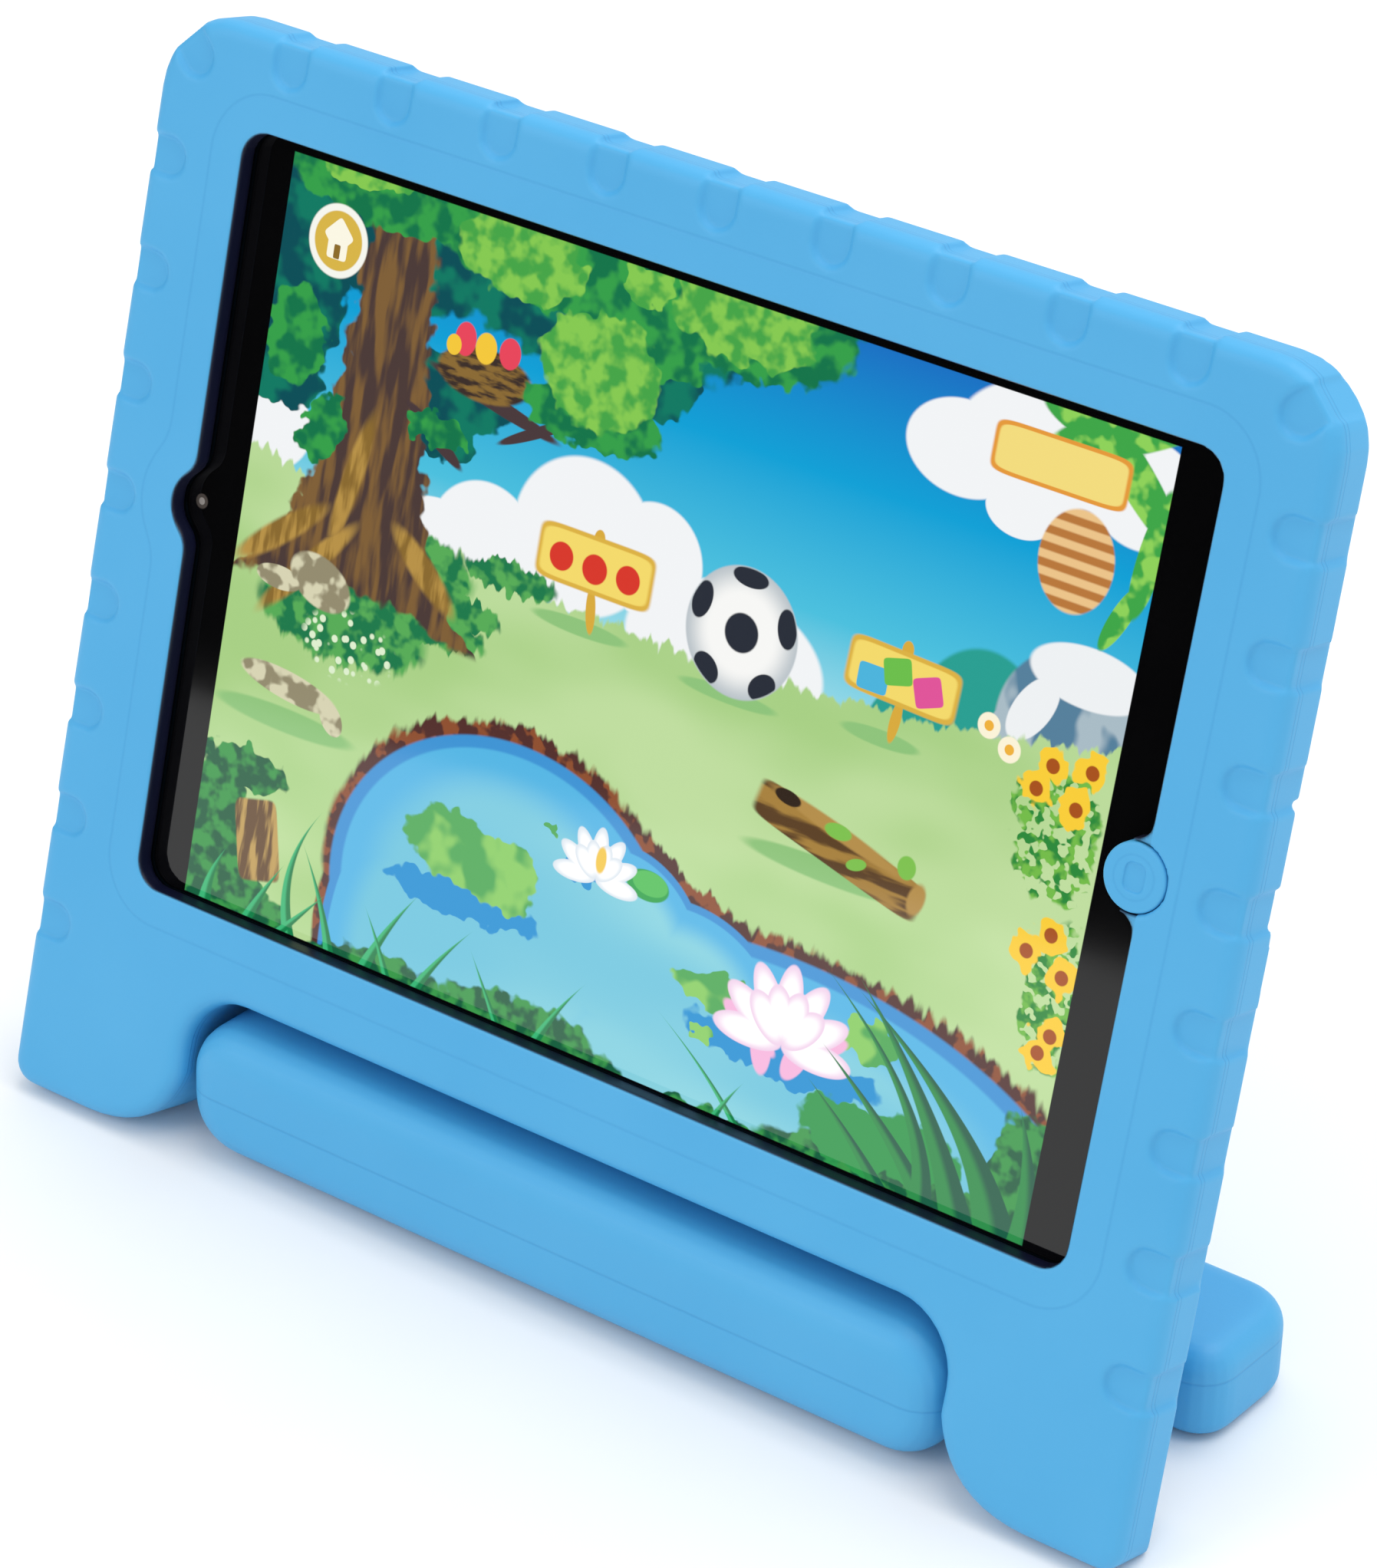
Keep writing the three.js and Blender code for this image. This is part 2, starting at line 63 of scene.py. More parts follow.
CAMERA_REACH = 20

bpy.ops.object.camera_add(location=display_middle + CAMERA_AWAY,
                          rotation=[math.radians(a) for a in (CAMERA_TILT, CAMERA_ROLL, CAMERA_TURN)])
camera = bpy.context.object
camera.data.lens, camera.data.clip_end = CAMERA_LENS, CAMERA_REACH
bpy.context.scene.camera = camera


# ---- floor and lights ----
# A pale matt sheet to stand on, one big soft light above and behind, and a weaker one in
# front on the left. A dark card, seen only in reflections, keeps the upper glass black.
class Wire:
    """One socket in a material's node tree. Arithmetic on it adds Math nodes."""

    def __init__(self, tree, socket=None):
        self.tree, self.socket = tree, socket

    def node(self, kind, inputs=None, out=0, stops=None, **settings):
        made = self.tree.nodes.new("ShaderNode" + kind)
        for name, value in settings.items():
            setattr(made, name, value)
        if stops:
            ramp = made.color_ramp
            while len(ramp.elements) < len(stops):
                ramp.elements.new(1)
            for element, (place, colour) in zip(ramp.elements, stops):
                element.position, element.color = place, (*colour, 1)
        for name, value in (inputs or {}).items():
            if isinstance(value, Wire):
                self.tree.links.new(value.socket, made.inputs[name])
            else:
                made.inputs[name].default_value = value
        return Wire(self.tree, made.outputs[out])

    def math(self, operation, *others):
        return self.node("Math", dict(enumerate((self, *others))), operation=operation)

    def __add__(self, other):
        return self.math("ADD", other)

    __radd__ = __add__

    def __mul__(self, other):
        return self.math("MULTIPLY", other)

    __rmul__ = __mul__

    def __sub__(self, other):
        return self.math("SUBTRACT", other)

    def __rsub__(self, other):
        return self.math("MULTIPLY_ADD", -1, other)

    def step(self, low, high):
        """0 under low and 1 over high (or the other way round), with a soft edge between"""
        return self.node("MapRange", {0: self, 1: low, 2: high}, interpolation_type="SMOOTHSTEP")

    def mix(self, below, above):
        """below where this is 0 and above where it is 1"""
        return self.node("Mix", {0: self, 6: below, 7: above}, out=2, data_type="RGBA")


def colour(text):
    """the linear colour of a six-digit hexadecimal one"""
    parts = [int(text[i:i + 2], 16) / 255 for i in (0, 2, 4)]
    return tuple(p / 12.92 if p < 0.04045 else ((p + 0.055) / 1.055) ** 2.4 for p in parts)


def paint(text):
    return (*colour(text), 1)


def new_material(name, **constants):
    """a material, the wire that starts its nodes, and its shader with these constants"""
    material = bpy.data.materials.new(name)
    material.use_nodes = True
    shader = material.node_tree.nodes["Principled BSDF"]
    for socket, value in constants.items():
        shader.inputs[socket.replace("_", " ")].default_value = value
    return material, Wire(material.node_tree), shader


def plug(wire, shader, socket):
    wire.tree.links.new(wire.socket, shader.inputs[socket])


def place_in_mm(start):
    """Object coordinates in millimetres"""
    here = start.node("TexCoord", out=3)
    return start.node("Mapping", {0: here, 3: (1000, 1000, 1000)})


def noise(place, scale, detail=2.0, roughness=0.5):
    settings = {"Vector": place, "Scale": scale, "Detail": detail, "Roughness": roughness}
    return place.node("TexNoise", settings)


def emboss(height, shader, strength, distance=0.2 * MM):
    bumps = height.node("Bump", {"Strength": strength, "Distance": distance, "Height": height})
    plug(bumps, shader, "Normal")


FLOOR_SIZE = 4
bpy.ops.mesh.primitive_plane_add(size=FLOOR_SIZE, location=(0, 0, 0))
floor = bpy.context.object
floor.name = "floor"
floor_material, start, shader = new_material("pale_sheet", Roughness=0.75)
fibres = noise(place_in_mm(start), 0.02, 3)
plug(fibres.mix(paint("f2f3f4"), paint("f7f7f7")), shader, "Base Color")
emboss(noise(place_in_mm(start), 3), shader, 0.05)
floor.data.materials.append(floor_material)


def soft_light(name, power, size, place):
    """a square softbox that faces the display"""
    bpy.ops.object.light_add(type="AREA", location=place)
    light = bpy.context.object
    light.name = name
    light.data.energy, light.data.size = power, size
    light.rotation_euler = (display_middle - light.location).to_track_quat("-Z", "Y").to_euler()


soft_light("softbox_above", 14, 1.4, (0.35, 0.35, 1.5))
soft_light("softbox_front", 9, 1.2, (-0.9, -1.5, 1.1))

world = bpy.data.worlds.new("studio")
world.use_nodes = True
world.node_tree.nodes["Background"].inputs["Color"].default_value = (1, 1, 1, 1)
world.node_tree.nodes["Background"].inputs["Strength"].default_value = 0.8
bpy.context.scene.world = world
bpy.context.scene.view_settings.view_transform = "Standard"

CARD_AWAY = Vector((-0.49, -0.82, 0.55))
CARD_WIDTH, CARD_HEIGHT, CARD_TURN = 3, 1.3, -57.6
bpy.ops.mesh.primitive_plane_add(size=1, location=display_middle + CARD_AWAY)
card = bpy.context.object
card.name = "dark_card"
card.scale = (CARD_WIDTH, CARD_HEIGHT, 1)
card.rotation_euler = (math.pi / 2, 0, math.radians(CARD_TURN))
card_material, start, shader = new_material("dark_card", Roughness=1.0)
weave = noise(place_in_mm(start), 0.5)
plug(weave.mix(paint("000000"), paint("060606")), shader, "Base Color")
card.data.materials.append(card_material)
for rays in ("camera", "diffuse", "transmission", "volume_scatter", "shadow"):
    setattr(card, "visible_" + rays, False)


# ---- foam case ----
# One moulding of closed-cell EVA foam, thick and slightly springy. A lip in front and a wall
# behind hold the tablet, grip marks run over the rim, and the two feet carry the handle's pins.
CASE_TOP, CASE_FOOT, CASE_FRONT, CASE_BACK = 77.5, -101.6, 4, -15
TOP_HALF, FOOT_HALF = 106, 107.5
TOP_CORNER, FOOT_CORNER = 13, 4
RIM_END, BACK_INSET = -4.3, 7
SLOT_HALF, SLOT_TOP, SLOT_CORNER = 73.5, -74, 10.5
MOUTH_START, MOUTH_PULL, MOUTH_END = (73.5, -89), (77, -101.3), (91, -101.6)
WINDOW = (-87.5, 89.5, -60.6, 62.2)
WINDOW_CORNER = 4.5
LENS_NOTCH = (-85.8, 2, 5.5)
LENS_FILLET = 4.5
KEY_X, KEY_R, KEY_ROOT, KEY_NECK, KEY_SKIN = 88.2, 5.2, 95.5, 2.6, 1.2
KEY_SHOULDER = 8.4
KEY_FILLET = 2.8
MARK_WIDTH, MARK_REACH, MARK_DEPTH = 6.5, 7.8, 0.9
MARKS_TOP_PITCH, MARKS_SIDE_PITCH, MARKS_SIDE_TOP = 20.2, 18.1, 54
GAP, KEY_GAP = 0.2, 0.1
LIP_BACK, FRONT_EDGE = 0.2, 2.6
POCKET, POCKET_BACK, POCKET_FRONT = (-100.3, 100.3, -67.65, 67.65, 9.3), -7.6, 0.6
CAMERA_HOLE = (-88, 54, 7.5)
CABLE_NOTCH, PORT_RELIEF = (98, 111.5, -12.5, 15.5, -17, -5), (98, 103, -6.5, 9.5, -15, -1)
JACK_R, JACK_Y, JACK_Z = 4.5, -57, -3.65
POWER_RELIEF, VOLUME_RELIEF = (-101.8, -99, 42, 58, -6, -1.3), (-95, -60, 66.35, 69.15, -6, -1.3)
PIN_Y, PIN_Z = -87.5, -5.5
PIN_HOLES = ((3.3, 70, 86), (3.3, -86, -70), (6.3, 85.7, 88.3), (6.3, -88.3, -85.7))
FOAM_VOXEL = 0.45 * MM
SEAM_DEPTH, SEAM_SPREAD, STEP_OUT = 0.7, 0.45, 6


def arc(x, y, radius, start, end, steps=8):
    """points on an arc, with its angles in degrees"""
    turns = [math.radians(start + (end - start) * i / steps) for i in range(steps + 1)]
    return [(x + radius * math.cos(a), y + radius * math.sin(a)) for a in turns]


def round_box(x0, x1, y0, y1, r, steps=6):
    """a rectangle's outline with round corners"""
    return (arc(x1 - r, y0 + r, r, -90, 0, steps) + arc(x1 - r, y1 - r, r, 0, 90, steps)
            + arc(x0 + r, y1 - r, r, 90, 180, steps) + arc(x0 + r, y0 + r, r, 180, 270, steps))


def select_only(piece):
    bpy.ops.object.select_all(action="DESELECT")
    piece.select_set(True)
    bpy.context.view_layer.objects.active = piece


def prism(name, outline, low, high):
    """an outline in the screen's plane, in millimetres, carried from low to high"""
    mesh = bpy.data.meshes.new(name)
    mesh.from_pydata([(x * MM, y * MM, low * MM) for x, y in outline], [], [range(len(outline))])
    piece = bpy.data.objects.new(name, mesh)
    bpy.context.scene.collection.objects.link(piece)
    select_only(piece)
    bpy.ops.object.mode_set(mode="EDIT")
    bpy.ops.mesh.select_all(action="SELECT")
    bpy.ops.mesh.remove_doubles(threshold=0.02 * MM)
    bpy.ops.mesh.extrude_region_move(TRANSFORM_OT_translate={"value": (0, 0, (high - low) * MM)})
    bpy.ops.mesh.select_all(action="SELECT")
    bpy.ops.mesh.normals_make_consistent(inside=False)
    bpy.ops.object.mode_set(mode="OBJECT")
    return piece


def shape_part(piece, wanted, action, faces=False):
    """runs an edit-mode action on the edges, or faces, whose corners all pass the test"""
    select_only(piece)
    bpy.ops.object.mode_set(mode="EDIT")
    bpy.ops.mesh.select_mode(type="FACE" if faces else "EDGE")
    bpy.ops.mesh.select_all(action="DESELECT")
    bpy.ops.object.mode_set(mode="OBJECT")
    for item in piece.data.polygons if faces else piece.data.edges:
        item.select = all(wanted(piece.data.vertices[i].co / MM) for i in item.vertices)
    bpy.ops.object.mode_set(mode="EDIT")
    action()
    bpy.ops.object.mode_set(mode="OBJECT")


def modify(piece, kind, **settings):
    """adds a modifier and applies it"""
    select_only(piece)
    modifier = piece.modifiers.new(kind, kind)
    for name, value in settings.items():
        setattr(modifier, name, value)
    bpy.ops.object.modifier_apply(modifier=modifier.name)


def carve(piece, *tools, operation="DIFFERENCE"):
    for tool in tools:
        modify(piece, "BOOLEAN", operation=operation, object=tool, solver="EXACT")
        bpy.data.objects.remove(tool)


def join(pieces):
    select_only(pieces[0])
    for piece in pieces:
        piece.select_set(True)
    bpy.ops.object.join()
    return pieces[0]


def soften(piece, voxel, rounds, faces):
    """turns joined closed shapes into one skin with the soft edges of moulded foam"""
    modify(piece, "REMESH", mode="VOXEL", voxel_size=voxel)
    modify(piece, "SMOOTH", factor=0.5, iterations=rounds)
    modify(piece, "DECIMATE", ratio=min(1, faces / (2 * len(piece.data.polygons))))
    bpy.ops.object.shade_smooth()


def curve(start, pull, end, steps=10):
    """points on a smooth curve from start to end, drawn towards pull"""
    parts = [i / steps for i in range(steps + 1)]
    return [tuple((1 - t) ** 2 * a + 2 * t * (1 - t) * b + t * t * c for a, b, c in zip(start, pull, end))
            for t in parts]


def case_outline():
    right = (arc(SLOT_HALF - SLOT_CORNER, SLOT_TOP - SLOT_CORNER, SLOT_CORNER, 90, 0)
             + curve(MOUTH_START, MOUTH_PULL, MOUTH_END)
             + arc(FOOT_HALF - FOOT_CORNER, CASE_FOOT + FOOT_CORNER, FOOT_CORNER, -90, 0, 5)
             + arc(TOP_HALF - TOP_CORNER, CASE_TOP - TOP_CORNER, TOP_CORNER, 0, 90))
    return right + [(-x, y) for x, y in reversed(right)]


def slab_outline():
    """the case without its slot, a little wider than the case itself"""
    spare = 0.5
    right = [(FOOT_HALF + spare, CASE_FOOT)] + arc(
        TOP_HALF + spare - TOP_CORNER, CASE_TOP - TOP_CORNER, TOP_CORNER, 0, 90)
    return right + [(-x, y) for x, y in reversed(right)]


def window_outline():
    """the opening in the lip: round corners, soft shoulders at the key, and the lens notch on the left"""
    x0, x1, y0, y1 = WINDOW
    nx, ny, nr = LENS_NOTCH
    r = WINDOW_CORNER
    meet = math.degrees(math.acos((nx - x0 + LENS_FILLET) / (nr + LENS_FILLET)))
    rise = (nr + LENS_FILLET) * math.sin(math.radians(meet))
    return (arc(x1 - r, y0 + r, r, -90, 0, 5)
            + arc(x1 - KEY_FILLET, -KEY_SHOULDER, KEY_FILLET, 0, 90, 5)
            + arc(x1 - KEY_FILLET, KEY_SHOULDER, KEY_FILLET, -90, 0, 5)
            + arc(x1 - r, y1 - r, r, 0, 90, 5)
            + arc(x0 + r, y1 - r, r, 90, 180, 5)
            + arc(x0 - LENS_FILLET, ny + rise, LENS_FILLET, 0, -meet, 4)
            + arc(nx, ny, nr, 180 - meet, 180 + meet, 10)
            + arc(x0 - LENS_FILLET, ny - rise, LENS_FILLET, meet, 0, 4)
            + arc(x0 + r, y0 + r, r, 180, 270, 5))


def grip_marks():
    """the tools that press the grip marks: for each, a round-ended dent in the face and one over the rim"""
    half = MARK_WIDTH / 2
    dent = [(4, -half), (4, half)] + arc(half - MARK_REACH, 0, half, 90, 270, 10)
    over_rim = [(-MARK_DEPTH, -half), (4, -half), (4, half), (-MARK_DEPTH, half)]
    places = [(i * MARKS_TOP_PITCH, CASE_TOP, 90) for i in range(-4, 5)]
    for i in range(8):
        y = MARKS_SIDE_TOP - i * MARKS_SIDE_PITCH
        x = TOP_HALF + (CASE_TOP - y) / (CASE_TOP - CASE_FOOT) * (FOOT_HALF - TOP_HALF)
        places += [(x, y, 0), (-x, y, 180)]
    corner = TOP_CORNER * (1 - math.sqrt(0.5))
    places += [(side * (TOP_HALF - corner), CASE_TOP - corner, turn) for side, turn in ((1, 45), (-1, 135))]
    faces, rims = [], []
    for x, y, turn in places:
        for outline, low, made in ((dent, CASE_FRONT - MARK_DEPTH, faces), (over_rim, CASE_BACK - 2, rims)):
            tool = prism("mark", outline, low, CASE_FRONT + 2)
            tool.data.transform(Matrix.Translation((x * MM, y * MM, 0))
                                @ Matrix.Rotation(math.radians(turn), 4, "Z"))
            made.append(tool)
    return join(faces), join(rims)


def rod_tool(radius, x0, x1, y, z, sides=40):
    bpy.ops.object.select_all(action="DESELECT")
    bpy.ops.mesh.primitive_cylinder_add(vertices=sides, radius=radius * MM, depth=(x1 - x0) * MM,
                                        location=((x0 + x1) / 2 * MM, y * MM, z * MM),
                                        rotation=(0, math.pi / 2, 0))
    bpy.ops.object.transform_apply(location=True, rotation=True, scale=True)
    return bpy.context.object


def box_tool(x0, x1, y0, y1, z0, z1):
    return prism("block", [(x0, y0), (x1, y0), (x1, y1), (x0, y1)], z0, z1)


def disc_outline(x, y, radius, sides=48):
    return arc(x, y, radius, 0, 360, sides)[:-1]


def round_rim(piece, wanted, radius, segments=5):
    shape_part(piece, wanted,
               lambda: bpy.ops.mesh.bevel(offset=radius * MM, segments=segments, affect="EDGES"))


def slope_back():
    bpy.ops.mesh.inset(thickness=BACK_INSET * MM, depth=(RIM_END - CASE_BACK) * MM)


case = prism("foam_case", case_outline(), CASE_BACK - 1, CASE_FRONT)
round_rim(case, lambda v: v.z > CASE_FRONT - 0.01, FRONT_EDGE, 4)
wedge = prism("sloping_back", slab_outline(), RIM_END, CASE_FRONT + 5)
shape_part(wedge, lambda v: v.z < RIM_END + 0.01, slope_back, faces=True)
carve(case, wedge, operation="INTERSECT")
carve(case,
      prism("window", window_outline(), LIP_BACK, CASE_FRONT + 2),
      prism("pocket", round_box(*POCKET), POCKET_BACK, POCKET_FRONT),
      prism("key_room", disc_outline(KEY_X, 0, KEY_R + KEY_GAP), 0.1, CASE_FRONT + 2),
      box_tool(KEY_X, KEY_ROOT + GAP, -KEY_NECK - GAP, KEY_NECK + GAP, 0.1, CASE_FRONT - KEY_SKIN),
      prism("camera_hole", disc_outline(*CAMERA_HOLE), CASE_BACK - 1, -7),
      box_tool(*CABLE_NOTCH),
      box_tool(*PORT_RELIEF),
      rod_tool(JACK_R, -FOOT_HALF - 3, -99, JACK_Y, JACK_Z),
      box_tool(*POWER_RELIEF),
      box_tool(*VOLUME_RELIEF),
      *[rod_tool(r, x0, x1, PIN_Y, PIN_Z) for r, x0, x1 in PIN_HOLES])
carve(case, *grip_marks())
upright = Matrix.Translation(display_middle) @ Matrix.Rotation(math.pi / 2 - lean, 4, "X")


def table_block(placement):
    """everything under the table, seen from a piece that will be moved by this placement"""
    block = box_tool(-150, 150, -150, 150, -60, 0)
    block.data.transform(placement.inverted())
    return block


carve(case, table_block(upright))
soften(case, FOAM_VOXEL, 2, 190000)
case.data.transform(upright)


def place_from(start, origin, tilt):
    """millimetres from an origin, in a frame tilted about the x axis"""
    here = start.node("TexCoord", out=3)
    return start.node("Mapping", {0: here, 1: origin, 2: (tilt, 0, 0), 3: (MM, MM, MM)},
                      vector_type="TEXTURE")


def screen_place(start):
    """millimetres in the screen's own frame: x across, y up from its middle, z out of the glass"""
    return place_from(start, display_middle, math.pi / 2 - lean)


def flat_distance(place, x, y, half_x=0.0, half_y=0.0):
    """how far a point lies outside a rectangle in the screen's plane"""
    here = place.node("VectorMath", {0: place, 1: (x, y, 0)}, operation="SUBTRACT")
    here = here.node("VectorMath", {0: here}, operation="ABSOLUTE")
    here = here.node("VectorMath", {0: here, 1: (half_x, half_y, 1000)}, operation="SUBTRACT")
    here = here.node("VectorMath", {0: here, 1: (0, 0, 0)}, operation="MAXIMUM")
    return here.node("VectorMath", {0: here}, out=1, operation="LENGTH")


def foam_skin(place, shader, dents_with_painted_shade, shade=None):
    """blue moulded foam with fine pores; the third wire is 1 in its mould lines, embossed as dents and
    painted a darker blue as painted shade, and the fourth is 1 where deep shade is painted in dark navy
    """
    cloudy = noise(place, 0.03, 3)
    blue = cloudy.mix(paint("42a2d7"), paint("4faadc"))
    # painted shade: the mould lines are also painted a darker blue, standing for the shade in their dents
    blue = (dents_with_painted_shade * 0.35).mix(blue, paint("2886c4"))
    # painted shade: dark navy is painted where deep shade falls
    if shade:
        blue = shade.mix(blue, paint("00052a"))
    plug(blue, shader, "Base Color")
    pores = noise(place, 3.5, 3, 0.6)
    plug(pores * 0.16 + 0.4, shader, "Roughness")
    emboss(pores * 0.25 + noise(place, 0.35, 2) * 0.5 - dents_with_painted_shade, shader, 0.35, 0.12 * MM)


case_foam, start, shader = new_material("case_foam", Specular_IOR_Level=0.45)
place = screen_place(start)
x0, x1, y0, y1 = WINDOW
past_window = flat_distance(place, (x0 + x1) / 2, (y0 + y1) / 2, (x1 - x0) / 2 - WINDOW_CORNER,
                            (y1 - y0) / 2 - WINDOW_CORNER) - WINDOW_CORNER
past_notch = flat_distance(place, LENS_NOTCH[0], LENS_NOTCH[1]) - LENS_NOTCH[2]
past_edge = past_window.math("SMOOTH_MIN", past_notch, 4.0)
depth = place.node("SeparateXYZ", {0: place}, out=2)
# mould seam and step line: embossed as dents and painted a darker blue as painted shade
seam = (depth - SEAM_DEPTH).math("ABSOLUTE") - SEAM_SPREAD
seam = seam.math("ABSOLUTE").step(0.2, 0.08)
step_line = (past_edge - STEP_OUT).math("ABSOLUTE").step(0.35, 0.05) * depth.step(3, 3.4) * 0.6
lines = seam.math("MAXIMUM", step_line)
# painted shade: the window's inner wall, which lies in deep shade, is painted dark navy
painted_shade_wall = past_edge.step(0.35, 0.15) * depth.step(4.1, 3.6) * depth.step(-0.5, 0)
foam_skin(place, shader, lines, painted_shade_wall)
case.data.materials.append(case_foam)
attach(case, "case")
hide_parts("case_body")


# ---- handle ----
# The same foam, moulded as a bar with a wide loop behind it. The bar lies between the feet and
# turns on pins in them; folded back, the loop's far edge rests on the table as a stand.
HANDLE_TILT = math.radians(-2.82)
BAR_HALF, BAR_LOW, BAR_TOP, BAR_DEPTH, BAR_CORNER, BAR_EDGE = 73, -12, 11, 9.2, 9.5, 6
GRIP_HALF, GRIP_NEAR, GRIP_FAR, GRIP_LOW, GRIP_TOP, GRIP_CORNER = 101, 23, 48.4, -11, 4.4, 8.5
FINGERS_HALF, FINGERS_FAR, FINGERS_CORNER = 53, 34.4, 7
GRIP_TOP_EDGE, GRIP_LOW_EDGE, GRIP_NEAR_CORNER = 4.6, 3, 6
NECK_HALF, NECK_TOP, NECK_SHOULDER, NECK_ROUND = 72.4, 10.4, 15, 9
NECK_START, NECK_END = 5.5, 29
BORE_R, BORE_START = 4.8, 55.7
HANDLE_SEAM = -1

lying = Matrix.Translation(joints["handle_swing"]["pos_m"]) @ Matrix.Rotation(HANDLE_TILT, 4, "X")
standing_up = Matrix.Rotation(math.pi / 2, 4, "X")
carried_across = Matrix(((0, 0, 1, 0), (1, 0, 0, 0), (0, 1, 0, 0), (0, 0, 0, 1)))


bar_front = round_box(-BAR_HALF, BAR_HALF, BAR_LOW, BAR_TOP, BAR_CORNER, 8)
bar = prism("handle_foam", bar_front, -BAR_DEPTH, BAR_DEPTH)
round_rim(bar, lambda v: v.z > BAR_DEPTH - 0.01, BAR_EDGE)
round_rim(bar, lambda v: v.z < 0.01 - BAR_DEPTH, BAR_EDGE)
bar.data.transform(standing_up)
carve(bar, rod_tool(BORE_R, BORE_START, 80, 0, 0), rod_tool(BORE_R, -80, -BORE_START, 0, 0))

grip_right = (arc(GRIP_HALF - GRIP_NEAR_CORNER, GRIP_NEAR + GRIP_NEAR_CORNER, GRIP_NEAR_CORNER, -90, 0, 5)
              + arc(GRIP_HALF - GRIP_CORNER, GRIP_FAR - GRIP_CORNER, GRIP_CORNER, 0, 90))
grip = prism("grip", grip_right + [(-x, y) for x, y in reversed(grip_right)], GRIP_LOW, GRIP_TOP)
round_rim(grip, lambda v: v.z > GRIP_TOP - 0.01, GRIP_TOP_EDGE)
round_rim(grip, lambda v: v.z < GRIP_LOW + 0.01, GRIP_LOW_EDGE)
finger_room = round_box(-FINGERS_HALF, FINGERS_HALF, -10, FINGERS_FAR, FINGERS_CORNER)
carve(grip, prism("fingers", finger_room, -20, 20), table_block(lying))

neck_side = [(NECK_START, GRIP_LOW - 0.5), (NECK_END, GRIP_LOW), (NECK_END, 3.4), (24, 3.4),
             (NECK_SHOULDER, NECK_TOP), (NECK_START, NECK_TOP)]
necks = []
for x0, x1 in ((FINGERS_HALF, NECK_HALF), (-NECK_HALF, -FINGERS_HALF)):
    neck = prism("neck", neck_side, x0, x1)
    neck.data.transform(carried_across)
    section = prism("neck_section", round_box(-NECK_HALF, NECK_HALF, -14, NECK_TOP, NECK_ROUND), -40, 0)
    section.data.transform(standing_up)
    carve(neck, section, operation="INTERSECT")
    necks.append(neck)

handle = join([bar, grip, *necks])
soften(handle, FOAM_VOXEL, 3, 120000)
handle.data.transform(lying)

handle_material, start, shader = new_material("handle_foam", Specular_IOR_Level=0.45)
place = place_from(start, lying.translation, HANDLE_TILT)
height = place.node("SeparateXYZ", {0: place}, out=2)
# the handle's mould line: an embossed dent, painted darker as painted shade
foam_skin(place, shader, (height - HANDLE_SEAM).math("ABSOLUTE").step(0.3, 0.08))
handle.data.materials.append(handle_material)
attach(handle, "handle")
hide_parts("handle_loop")


# ---- home key ----
# A round foam tongue left standing in the lip over the tablet's home button. It bends at its
# root, and a small dimple shows a finger where to press.
KEY_BACK, KEY_EDGE, KEY_VOXEL = 1.6, 0.5, 0.17 * MM
DIMPLE_HALF_X, DIMPLE_HALF_Y, DIMPLE_CORNER, DIMPLE_DEPTH = 1.7, 2.2, 1.2, 0.4
NUB_X, NUB_R, NUB_BACK = 90.5, 1.5, 0.4

disc = prism("home_key_foam", disc_outline(KEY_X, 0, KEY_R, 64), KEY_BACK, CASE_FRONT)
round_rim(disc, lambda v: v.z > CASE_FRONT - 0.01, KEY_EDGE, 3)
dimple = round_box(KEY_X - DIMPLE_HALF_X, KEY_X + DIMPLE_HALF_X, -DIMPLE_HALF_Y, DIMPLE_HALF_Y, DIMPLE_CORNER)
carve(disc, prism("dimple", dimple, CASE_FRONT - DIMPLE_DEPTH, CASE_FRONT + 1))
neck = box_tool(KEY_X, KEY_ROOT, -KEY_NECK, KEY_NECK, KEY_BACK, CASE_FRONT - KEY_SKIN - GAP)
nub = prism("nub", disc_outline(NUB_X, 0, NUB_R, 24), NUB_BACK, 2)
key = join([disc, neck, nub])
soften(key, KEY_VOXEL, 3, 30000)
key.data.transform(upright)
key_material, start, shader = new_material("key_foam", Specular_IOR_Level=0.45)
place = screen_place(start)
ring = (flat_distance(place, KEY_X, 0) - 3.3).math("ABSOLUTE").step(0.3, 0.05)
# the ring on the key: an embossed dent, painted darker as painted shade
foam_skin(place, shader, ring * 0.5)
key.data.materials.append(key_material)
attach(key, "home_key")
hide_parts("home_key_tongue")


# ---- cover glass and picture ----
# Black-backed glass over a bright display. The picture is a flat, cheerful garden by a pond,
# painted in layers from the sky down to the grass in front. The glass itself stays as it is.
DISPLAY_HALF = (80.25, 60.2)
FRONT_CAMERA = (-88.2, 2, 1.3, 1.3)
HORIZON_UP, HORIZON_SLOPE, HORIZON_CURVE = 6.5, 0.005, 0.0013
TRUNK_X, TRUNK_HALF, ROOT_SPREAD, ROOT_UP = -57, 3, 260, -18


